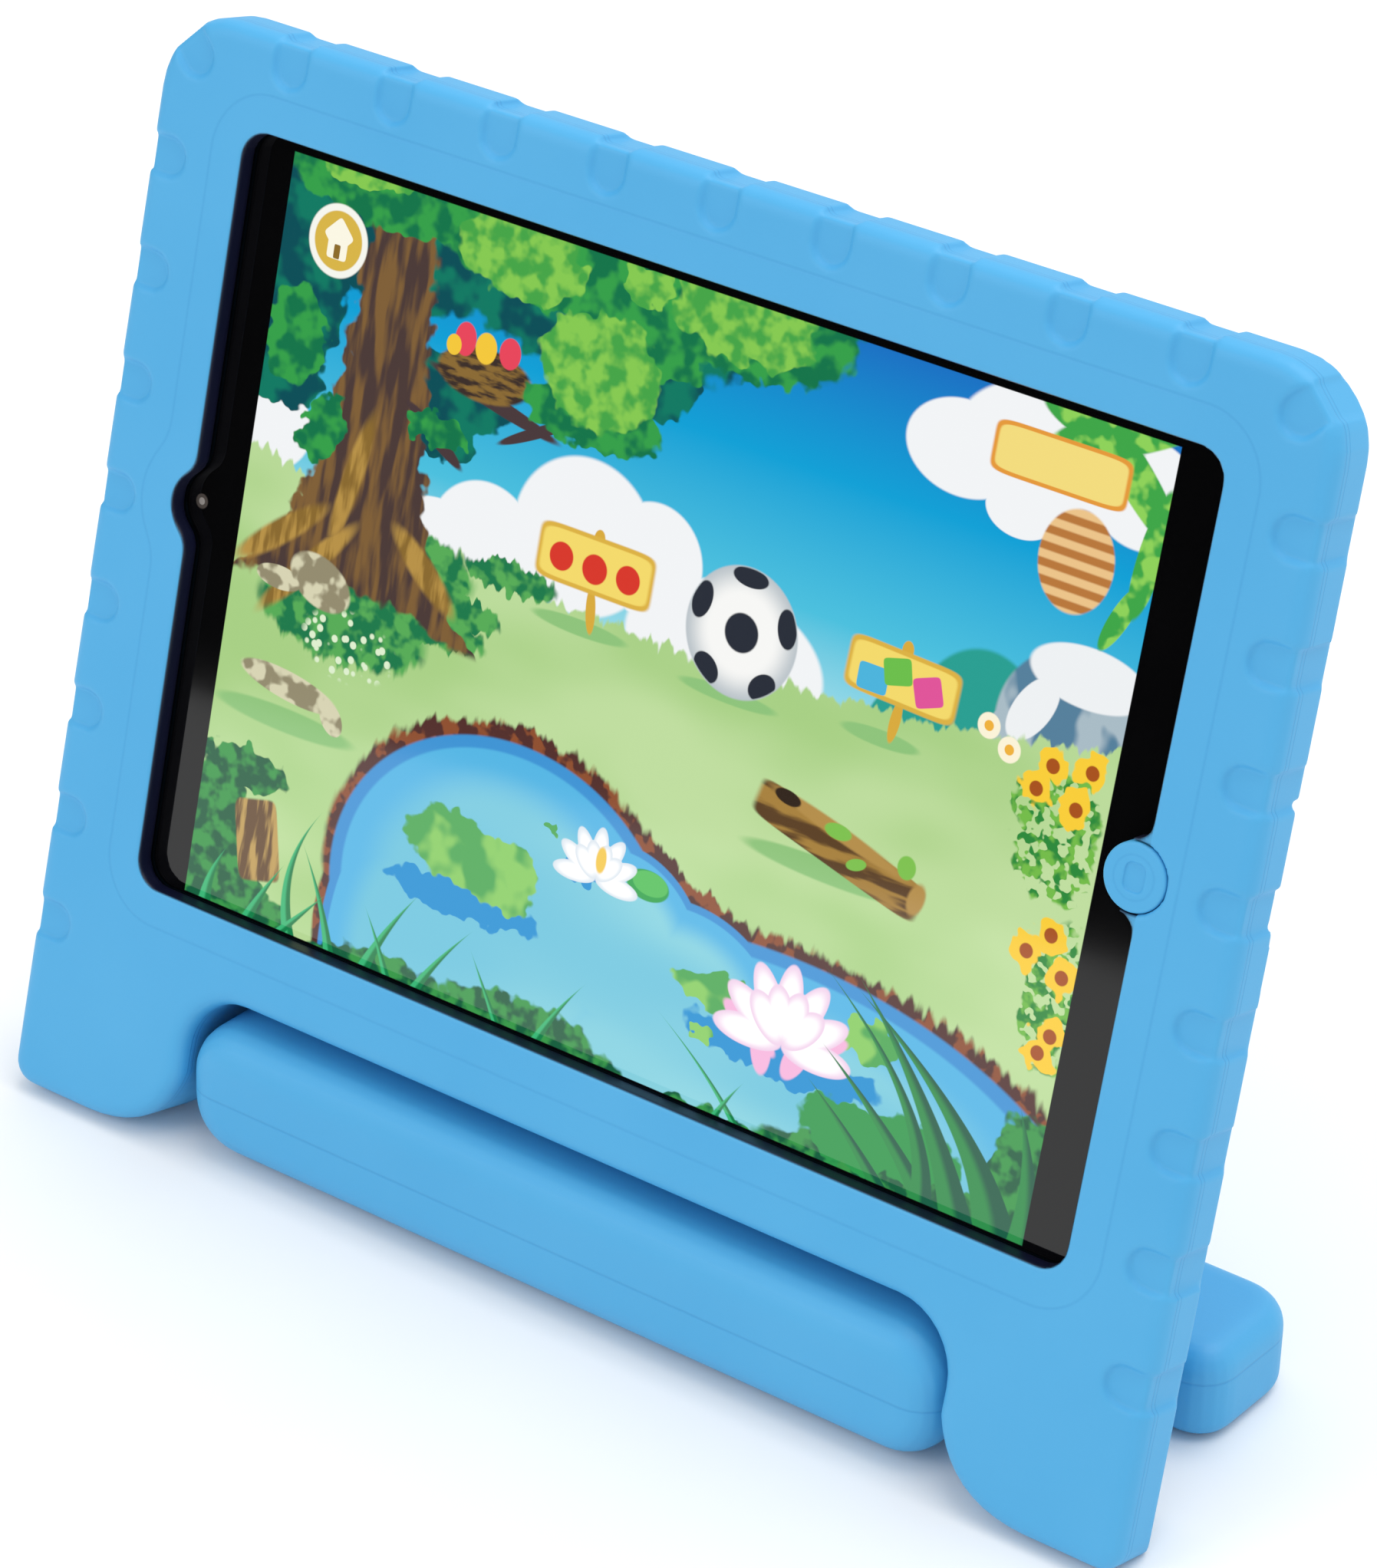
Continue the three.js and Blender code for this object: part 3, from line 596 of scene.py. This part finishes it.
class Picture:
    """A picture laid down in flat layers, in the screen's own millimetres."""

    def __init__(self, point):
        self.point = point
        self.place = place = point.node("VectorMath", {0: point, 1: (0, 0, 0)}, operation="ADD")
        self.seen = None
        parts = place.node("SeparateXYZ", {0: place})
        self.across = Wire(parts.tree, parts.socket.node.outputs[0])
        self.up = Wire(parts.tree, parts.socket.node.outputs[1])

    def lay(self, mask, top):
        """lays a colour, or a wire of colours, over the picture where the mask is 1"""
        self.seen = mask.mix(self.seen, paint(top) if isinstance(top, str) else top)

    def oval(self, x, y, w, h, turn=0, place=None):
        """0 in the middle of an oval and 1 on its edge"""
        here = self.spread(x, y, w, h, turn, place)
        return here.node("VectorMath", {0: here}, out=1, operation="LENGTH")

    def spread(self, x, y, w, h, turn=0, place=None):
        """the place moved, turned and scaled so that this oval becomes a circle of radius 1"""
        here = place or self.place
        c, s = math.cos(math.radians(turn)), math.sin(math.radians(turn))
        if turn == 0:
            return here.node("VectorMath", {0: here, 1: (1 / w, 1 / h, 0), 2: (-x / w, -y / h, 0)},
                             operation="MULTIPLY_ADD")
        along = here.node("VectorMath", {0: here, 1: (c / w, s / w, 0)}, out=1, operation="DOT_PRODUCT")
        aside = here.node("VectorMath", {0: here, 1: (-s / h, c / h, 0)}, out=1, operation="DOT_PRODUCT")
        turned = here.node("CombineXYZ", {0: along, 1: aside})
        return turned.node("VectorMath", {0: turned, 1: ((c * x + s * y) / w, (c * y - s * x) / h, 0)},
                           operation="SUBTRACT")

    def ovals(self, *shapes, place=None):
        """the union of several ovals"""
        near = self.oval(*shapes[0], place=place)
        for shape in shapes[1:]:
            near = near.math("MINIMUM", self.oval(*shape, place=place))
        return near

    def tile(self, x, y, w, h, turn=0, place=None):
        """0 in the middle of a soft-cornered rectangle and 1 on its edge"""
        here = self.spread(x, y, w, h, turn, place)
        for _ in range(2):
            here = here.node("VectorMath", {0: here, 1: here}, operation="MULTIPLY")
        return here.node("VectorMath", {0: here}, out=1, operation="LENGTH")

    def ragged(self, fineness, reach, stretch=(1, 1)):
        """the place, pushed about by noise, so that what is drawn with it has ragged edges"""
        pushes = []
        for start in (0, 400):
            here = self.point.node("Mapping", {0: self.point, 1: (start, 0, 0), 3: (*stretch, 1)})
            pushes.append(noise(here, fineness, 1.5) - 0.5)
        push = self.point.node("CombineXYZ", dict(enumerate(pushes)))
        return push.node("VectorMath", {0: push, 1: (*reach, 0), 2: self.place}, operation="MULTIPLY_ADD")

    def mottle(self, fineness, dark, light, low=0.42, high=0.58, stretch=(1, 1)):
        here = self.point.node("Mapping", {0: self.point, 3: (*stretch, 1)})
        return noise(here, fineness, 2).step(low, high).mix(paint(dark), paint(light))

    def blade(self, root, foot, height, slant, bend, width, dark, light):
        """one curved leaf of grass, tapering from its foot to its tip"""
        rise = self.up - foot
        middle = rise.math("MULTIPLY_ADD", rise.math("MULTIPLY_ADD", bend, slant), root)
        aside = self.across - middle
        room = rise.math("MULTIPLY_ADD", -width / height, width) - aside.math("ABSOLUTE")
        tint = aside.step(width * 0.2, -width * 0.2).mix(paint(dark), paint(light))
        self.lay(room.step(0, 0.3), tint)

    def flowers(self, petals, heart, size, spots, place):
        self.lay(self.ovals(*[(x, y, size, size) for x, y in spots], place=place).step(1.08, 0.95), petals)
        self.lay(self.ovals(*[(x, y, size * 0.42, size * 0.42) for x, y in spots]).step(1.1, 0.9), heart)


glass_material, start, shader = new_material("cover_glass", Roughness=0.05, Emission_Strength=1.0)
place = screen_place(start)
sky = Picture(place)
height = sky.up.math("MULTIPLY_ADD", 1 / 120, 0.5)
sky.seen = height.node("ValToRGB", {0: height}, stops=[
    (0.52, colour("a4e0ea")), (0.66, colour("4cc0de")), (0.83, colour("0fa0d6")), (1.0, colour("1a72c4"))])
leafy = sky.ragged(0.32, (6, 6))
grassy = sky.ragged(0.7, (1.5, 5), (1, 0.25))

# distance: hill, clouds, rock and meadow
sky.lay(sky.ovals((57, 8, 12, 15), (48, 6, 10, 9)).step(1.03, 0.97), "2a9f92")
sky.lay(sky.ovals((-16, 18, 13, 12), (-3, 18, 9, 9), (-34, 12, 10, 9), (-42, 10, 10, 6), (12, 8, 18, 11),
                  (-80, 18, 11, 8), (60, 53, 16, 10), (46, 50, 10, 7), (57, 44, 6, 4), (76, 52, 9, 8)
                  ).step(1.03, 0.97), "f2f4f6")
sky.lay(sky.ovals((73, 15, 14, 13), (66, 10, 8, 10)).step(1.02, 0.97),
        sky.mottle(0.11, "56809c", "a9bcc6", 0.47, 0.52, (1, 0.6)))
sky.lay(sky.ovals((73, 24, 10, 4.5), (65, 17, 3, 6, -30)).step(1.04, 0.95), "eef1f3")
slope = sky.across.math("MULTIPLY_ADD", HORIZON_CURVE, HORIZON_SLOPE)
horizon = sky.across.math("MULTIPLY_ADD", slope, HORIZON_UP)
ragged_up = grassy.node("SeparateXYZ", {0: grassy}, out=1)
sky.lay((ragged_up - horizon).step(0.4, -0.4), sky.mottle(0.035, "a8d085", "c0dea0", 0.35, 0.65, (0.5, 1)))
sky.lay(sky.ovals((-14, 4.4, 9, 1.3), (41, 4.8, 7, 1.3), (36, -17.5, 15, 1.8), (-66, -27, 14, 2),
                  (14, 2.6, 9, 1.2)).step(1.1, 0.85), "8fc47c")
sky.lay(sky.ovals((-28, 8, 9, 2.6), (-48, 4, 14, 6), (-58, -8, 17, 7), (-42, -4, 12, 3), (-36, 0, 8, 2.5),
                  place=grassy).step(1.05, 0.9), sky.mottle(0.3, "1f7a4c", "58ac58"))

# tree: far leaves, trunk with roots, branches, nest, near leaves
sky.lay(sky.ovals((-62, 58, 36, 16), (-22, 60, 36, 18), (9, 64, 18, 12), (-76, 40, 10, 14), (-46, 32, 14, 6),
                  (-8, 45, 8, 6), (-45, 26, 7, 4), (-77, 26, 9, 5), place=leafy).step(1.03, 0.95),
        sky.mottle(0.16, "0a4f58", "117a63"))
trunk_half = (sky.up - ROOT_UP).math("POWER", -1).math("MULTIPLY_ADD", ROOT_SPREAD, TRUNK_HALF)
from_trunk = (leafy.node("SeparateXYZ", {0: leafy}) - TRUNK_X).math("ABSOLUTE")
in_trunk = (from_trunk - trunk_half).step(0.4, -0.4)
above_roots = (sky.oval(-58, -14, 30, 11, place=leafy) - 1).step(-0.05, 0.05)
sky.lay(in_trunk * above_roots * sky.up.step(-7, -5.5),
        sky.mottle(0.5, "4c3b38", "806038", 0.4, 0.62, (1, 0.16)))
sky.lay(sky.ovals((-72, 2, 11, 2.2, 38), (-66, -2, 13, 2.0, 48), (-44, 4, 9, 2.4, -38), (-60, 14, 2, 12, -12)
                  ).step(1.1, 0.7), sky.mottle(0.6, "8a6a30", "b89248", 0.4, 0.6, (1, 0.2)))
sky.lay(sky.ovals((-36, 33, 13, 1.2, -12), (-27, 31, 8, 0.9, 28), (-46, 25, 7, 1.2, -32)).step(1.1, 0.9),
        "4a3a3c")
sky.lay(sky.oval(-38.5, 36.5, 9, 4.2, 2).step(1.05, 0.92),
        sky.mottle(0.9, "3c2f2a", "8b6b35", 0.4, 0.6, (0.3, 1)))
sky.lay(sky.ovals((-43, 41, 2, 2.6), (-34.5, 41, 2, 2.4)).step(1.06, 0.94), "e8475c")
sky.lay(sky.ovals((-39, 40.6, 2, 2.4), (-45, 39.6, 1.4, 1.6)).step(1.06, 0.94), "f4c83c")
sky.lay(sky.ovals((-28, 58, 24, 9), (-60, 60, 22, 7), (8, 58, 18, 9), (-18, 36, 13, 5), (-9, 49, 10, 5),
                  (-46, 26, 6, 2.4), (-75, 33, 6, 8), (-67, 20, 4, 6, -30), place=leafy).step(1.03, 0.95),
        sky.mottle(0.22, "14754a", "36a04a"))
sky.lay(sky.ovals((-18, 43, 11, 9), (-35, 56, 12, 7), (6, 57, 13, 6), (-12, 58, 5, 3), (-66, 62, 10, 4),
                  place=leafy).step(1.02, 0.95), sky.mottle(0.3, "46a548", "86ca52", 0.38, 0.6))

# round button with a plain house
sky.lay(sky.oval(-69.5, 49, 5.7, 5.7).step(1.03, 0.97), "f6f6ee")
sky.lay(sky.oval(-69.5, 49, 4.6, 4.6).step(1.03, 0.97), "d8b548")
sky.lay(sky.tile(-69.5, 49.8, 2.1, 2.1, 45).step(1.1, 0.9), "fbf7e4")
sky.lay(sky.tile(-69.5, 47.9, 1.9, 1.8).step(1.1, 0.9), "fbf7e4")
sky.lay(sky.tile(-69.5, 47.3, 0.6, 1.1).step(1.15, 0.85), "8d6c2a")

# boards on posts, ball, stones and flowers on the meadow
sky.lay(sky.ovals((-12.5, 7.5, 0.9, 3.6, 8), (43, 8, 0.9, 3.4, -6), (-13, 18.6, 1, 1.4), (43, 18.8, 1, 1.4)
                  ).step(1.1, 0.9), "d9ab3e")
sky.lay(sky.tile(-13, 14.4, 10.7, 4.4).math("MINIMUM", sky.tile(43, 14.4, 9.7, 4.1, -2)).step(1.2, 0.9),
        "dcb245")
sky.lay(sky.tile(-13, 14.4, 10, 3.7).math("MINIMUM", sky.tile(43, 14.4, 9, 3.4, -2)).step(1.2, 0.9),
        "f4da6c")
sky.lay(sky.ovals((-19.3, 14, 2.2, 2.2), (-13, 13.8, 2.3, 2.3), (-6.8, 14, 2.2, 2.2)).step(1.06, 0.94),
        "d8392c")
sky.lay(sky.tile(38, 13, 2.6, 2).step(1.2, 0.9), "4db4dc")
sky.lay(sky.tile(42, 15.2, 2.4, 2, 15).step(1.2, 0.9), "6cbf4c")
sky.lay(sky.tile(47.6, 13.8, 2.4, 2.2, 20).step(1.2, 0.9), "e0559a")
ball = sky.oval(14.5, 12.5, 10, 10)
sky.lay(ball.step(1.02, 0.98), ball.step(0.55, 1.05).mix(paint("f7f7f5"), paint("b9c2c8")))
patches = sky.ovals((14.5, 12.5, 3, 3), (14.5, 21, 3.2, 1.5), (22.2, 15.4, 1.7, 3, 12),
                    (19.6, 5.6, 2.6, 1.9, 40), (9.4, 5.6, 2.6, 1.9, -40), (6.8, 15.4, 1.7, 3, -12))
sky.lay(patches.step(1.06, 0.94) * ball.step(1, 0.97), "2a2f3a")
sky.lay(sky.ovals((-63, -3.6, 6.4, 4, -18), (-71, -5.2, 4.6, 1.9), (-66, -21.5, 10, 2.4, -6),
                  (-57, -24, 3, 2, -50)).step(1.04, 0.93), sky.mottle(0.25, "948c70", "d8d4b4", 0.44, 0.54))
specks = place.node("TexVoronoi", {0: place, "Scale": 0.55}).step(0.4, 0.28)
sky.lay(specks * sky.oval(-56, -12, 10, 6).step(1, 0.8), "dff0cf")
sky.lay(sky.ovals((73, -2, 7, 8), (77, -23, 5, 12), (72, 4, 8, 6), place=leafy).step(1, 0.9)
        * noise(place, 0.6, 1).step(0.46, 0.5), sky.mottle(0.4, "2d8a3c", "74bc4a"))
SUNFLOWERS = ((70, 10), (76.5, 11), (75, 5), (68, 6), (75, -14), (71.5, -17.5), (78, -19.5), (78, -28.5),
              (76.5, -31.5))
sky.flowers("f9ce3a", "a8531e", 2.7, SUNFLOWERS, leafy)
sky.flowers("fbf3d8", "efb23e", 1.9, ((58.5, 12.4), (62.5, 10)), sky.place)

# log
sky.lay(sky.tile(37.5, -13.6, 15.6, 3.1, -14).step(1.2, 0.85),
        sky.mottle(0.6, "5d4226", "a8823f", 0.4, 0.6, (0.16, 1)))
sky.lay(sky.ovals((37, -11, 14, 1.3, -14), (52, -16.5, 1.6, 2.8, -14)).step(1.1, 0.7), "b58f4c")
sky.lay(sky.ovals((27.5, -8.8, 2.4, 1.1, -8)).step(1.1, 0.9), "33261c")
sky.lay(sky.ovals((37, -11, 2.4, 1.2), (41, -14.8, 1.8, 0.9, 20), (49.5, -12.4, 1.6, 1.8)).step(1.1, 0.9),
        "7fc251")

# pond, lily pads and lotus flowers
shore = sky.ovals((-20, -44, 33, 27.5), (2, -42, 17, 17), (15, -47, 20, 17), (34, -62, 60, 30),
                  (-32, -56, 21, 30))
spiky = sky.ovals((-20, -43, 34, 28.5), (2, -41, 18, 17.5), (15, -46, 21, 17.5), (34, -61, 61.5, 30.5),
                  (-32, -55, 22, 31), place=grassy)
sky.lay(spiky.step(1.04, 1.0), sky.mottle(0.3, "54302c", "8f5030", 0.48, 0.56))
sky.lay(shore.step(1.01, 0.99), "3f94d4")
sky.lay(shore.step(0.94, 0.92), "55b6e4")
sky.lay(shore.step(0.86, 0.6), sky.mottle(0.03, "70c4dc", "90d6e0", 0.35, 0.65, (0.3, 1)))
sky.lay(sky.ovals((-27, -43.6, 15, 3), (34, -47.5, 18, 3.6), (-4, -32, 7, 1.6), place=leafy).step(1.03, 0.95),
        "1592d2")
sky.lay(sky.ovals((-30, -36, 10, 5.5, -8), (-20, -37.5, 7, 6), (22, -41.5, 9, 3.2), (49, -40, 5.5, 3.4),
                  (-13, -27.3, 1.5, 0.9), (20, -49, 2.4, 1), place=leafy).step(1.02, 0.94),
        sky.mottle(0.12, "4fa957", "8ccd66", 0.45, 0.55))
sky.lay(sky.oval(6, -30, 4, 2.4).step(1.04, 0.94), "2fa44e")
sky.lay(sky.oval(6.4, -29.6, 3.3, 1.9).step(1.04, 0.94), "58c05e")


def lotus(x, y, size, tilt_step, near, tip):
    """an open lotus: petals fanned round its base, the outer ones lowest"""
    for count, reach in ((7, 1.0), (4, 0.72)):
        turns = [tilt_step * (i - (count - 1) / 2) for i in range(count)]
        long, wide = size * 0.5 * reach, size * 0.19
        body = sky.ovals(*[(x + long * math.sin(math.radians(t)), y + long * math.cos(math.radians(t)),
                            wide, long, -t) for t in turns])
        sky.lay(body.step(1.05, 0.97), body.step(1, 0.55).mix(paint(tip), paint(near)))


sky.lay(sky.ovals((30.5, -46.5, 2, 5, 10), (37, -46.5, 2, 4.4, -24), (28, -45, 6, 1.8, -28),
                  (40, -44, 6, 1.8, 26)).step(1.05, 0.9), "f4b6dc")
lotus(34, -45.5, 12.5, 30, "ffffff", "f0d2ea")
lotus(-3.5, -32, 8, 31, "ffffff", "dde6ee")
sky.lay(sky.oval(-3, -29, 1, 2.2).step(1.1, 0.8), "f2c94e")

# hive, blank plaque and leaves in the top corner
sky.lay(sky.ovals((72, 60, 14, 3.4, 24), (74, 54, 13, 3, -42), (79, 44, 10, 2.2, 82), (76, 34, 6, 1.6, 66),
                  (66, 59, 9, 2.6, -12)).step(1.05, 0.93), sky.mottle(0.25, "3fa648", "8ed25a", 0.45, 0.55))
sky.lay(sky.tile(62, 52.2, 11.4, 3.9).step(1.15, 0.95), "e59a3c")
sky.lay(sky.tile(62, 52.2, 10.7, 3.3).step(1.15, 0.95), "f3dc7e")
stripes = (sky.up * 2.6).math("SINE").step(-0.5, 0.5).mix(paint("b9783c"), paint("ecc48a"))
sky.lay(sky.oval(67.3, 39.6, 6.3, 7.6).step(1.03, 0.96), stripes)

# bushes, stump and grass in front
sky.lay(sky.ovals((-77, -50, 9, 13), (-72, -37, 9, 3.5), (-74, -60, 14, 7), (-40, -64, 16, 7),
                  (-12, -63, 20, 8), (22, -65, 14, 5.5), (56, -63, 26, 8), (78, -50, 6, 9), place=leafy
                  ).step(1.03, 0.94),
        sky.mottle(0.3, "17603f", "3c9a4c"))
sky.lay(sky.tile(-67.5, -47.5, 4.2, 6.5, 14).step(1.2, 0.85),
        sky.mottle(0.7, "6b4f33", "c2a05c", 0.42, 0.6, (1, 0.15)))
sky.lay(sky.ovals((48, -55, 9, 5, -8), (58, -54, 10, 5), place=leafy).step(1.03, 0.94), "2f9a4e")
FINE_GRASS = (
    (-58, 24, -0.5, 0.026, 1.5), (-50, 18, -0.3, -0.012, 1.3), (-44, 17, 0.35, 0.012, 1.5),
    (-38, 12, -0.5, -0.01, 1.1), (-34, 15, 0.5, 0.014, 1.3), (-16, 12, -0.7, 0.0, 1.0),
    (-10, 14, 0.4, 0.015, 1.2), (-76, 12, -0.1, 0.03, 1.6), (-68, 13, 0.4, 0.01, 1.4),
    (-62, 11, 0.9, 0.0, 1.3), (30, 15, -0.9, -0.03, 1.1), (24, 9, 0.4, 0.02, 1.0))
BROAD_GRASS = (
    (76, 32, -0.1, -0.028, 4.6), (70, 34, -0.35, -0.012, 3.6), (80, 24, 0.1, -0.012, 3.4),
    (66, 22, -0.75, -0.02, 3.2), (62, 34, 0.15, -0.026, 2.4), (58, 16, -0.9, -0.02, 2.4))
for leaves, foot, dark, light in ((FINE_GRASS, -62, "17804a", "3cb878"),
                                  (BROAD_GRASS, -64, "1b5f46", "2f8f4c")):
    for root, height, slant, bend, width in leaves:
        sky.blade(root, foot, height, slant, bend, width, dark, light)

# the display's edge, and the front camera behind its own clear spot
apart = place.node("VectorMath", {0: sky.place}, operation="ABSOLUTE")
apart = apart.node("VectorMath", {0: apart, 1: (*DISPLAY_HALF, 0)}, operation="SUBTRACT")
edges = apart.node("SeparateXYZ", {0: apart})
inside = edges.math("MAXIMUM", Wire(edges.tree, edges.socket.node.outputs[1])).step(0.08, -0.08)
plug(inside.mix(paint("000000"), sky.seen), shader, "Emission Color")
lens = sky.oval(*FRONT_CAMERA)
smudge = noise(place, 0.05, 3)
black = smudge.mix(paint("030304"), paint("060607"))
black = lens.step(1, 0.8).mix(black, lens.step(0.5, 0.4).mix(paint("4a4440"), paint("8f8a86")))
plug(black, shader, "Base Color")
plug(smudge * 0.05 + 0.03, shader, "Roughness")
glass_material.cycles.emission_sampling = "NONE"
frame["nodes"]["cover_glass"].data.materials[0] = glass_material


# ---- tablet and hinge parts ----
# What shows through the holes and behind the foam: a blasted metal shell, black lenses and
# glass, plated screws and brackets, the green board, foil-wrapped cells and amber flat cables.
def metal(base, sheen, grain, roughness):
    """bare metal with blasting or brushing marks"""
    def make(material_name):
        material, start, shader = new_material(material_name, Metallic=1.0)
        place = place_in_mm(start)
        marks = noise(place, grain, 4, 0.6)
        plug(marks.mix(paint(base), paint(sheen)), shader, "Base Color")
        plug(marks * 0.2 + roughness, shader, "Roughness")
        emboss(marks, shader, 0.2, 0.01 * MM)
        return material
    return make


def plastic(base, worn, grain, roughness, depth=0.02):
    """moulded plastic, film or rubber with a fine spark-eroded skin"""
    def make(material_name):
        material, start, shader = new_material(material_name)
        place = place_in_mm(start)
        skin = noise(place, grain, 3, 0.55)
        plug(noise(place, grain / 20, 2).mix(paint(base), paint(worn)), shader, "Base Color")
        plug(skin * 0.15 + roughness, shader, "Roughness")
        emboss(skin, shader, 0.3, depth * MM)
        return material
    return make


def circuit(material_name):
    """a green board with fine copper lines under its lacquer"""
    material, start, shader = new_material(material_name, Roughness=0.35)
    place = place_in_mm(start)
    cells = place.node("TexVoronoi", {0: place, "Scale": 0.35}, distance="CHEBYCHEV", feature="F1")
    lines = (cells * 9).math("FRACT").step(0.35, 0.2)
    plug(lines.mix(paint("0d3a22"), paint("1f6238")), shader, "Base Color")
    emboss(lines, shader, 0.3, 0.03 * MM)
    return material


def cell_wrap(material_name):
    """the silvery laminate of a pouch cell, slightly crinkled"""
    material, start, shader = new_material(material_name, Metallic=0.7)
    place = place_in_mm(start)
    crinkle = noise(place, 0.12, 4, 0.65)
    plug(crinkle.mix(paint("7d8086"), paint("a4a7ac")), shader, "Base Color")
    plug(crinkle * 0.3 + 0.25, shader, "Roughness")
    emboss(crinkle, shader, 0.5, 0.2 * MM)
    return material


finishes = {
    "housing_metal": metal("a9acb2", "c3c6cb", 9, 0.3),
    "steel": metal("b5b8bc", "d6d8da", 4, 0.2),
    "thin_plate": metal("9fa2a6", "bfc2c5", 2, 0.35),
    "nylon": plastic("dcdcd6", "ecece8", 5, 0.4),
    "white_plastic": plastic("e9e9e6", "f4f4f2", 4, 0.45),
    "black_plastic": plastic("101113", "1c1d20", 6, 0.4),
    "flex_film": plastic("9a5416", "bd7224", 1.5, 0.3),
    "screen_glass": plastic("050506", "0a0b0d", 0.5, 0.04, 0.001),
    "circuit_board": circuit,
    "cell_foil": cell_wrap,
}
made = {name: make(name + "_finish") for name, make in finishes.items()}
for node in frame["nodes"].values():
    finish = node.data.materials[0]
    if finish and finish.name.split(".")[0] in made:
        node.data.materials[0] = made[finish.name.split(".")[0]]
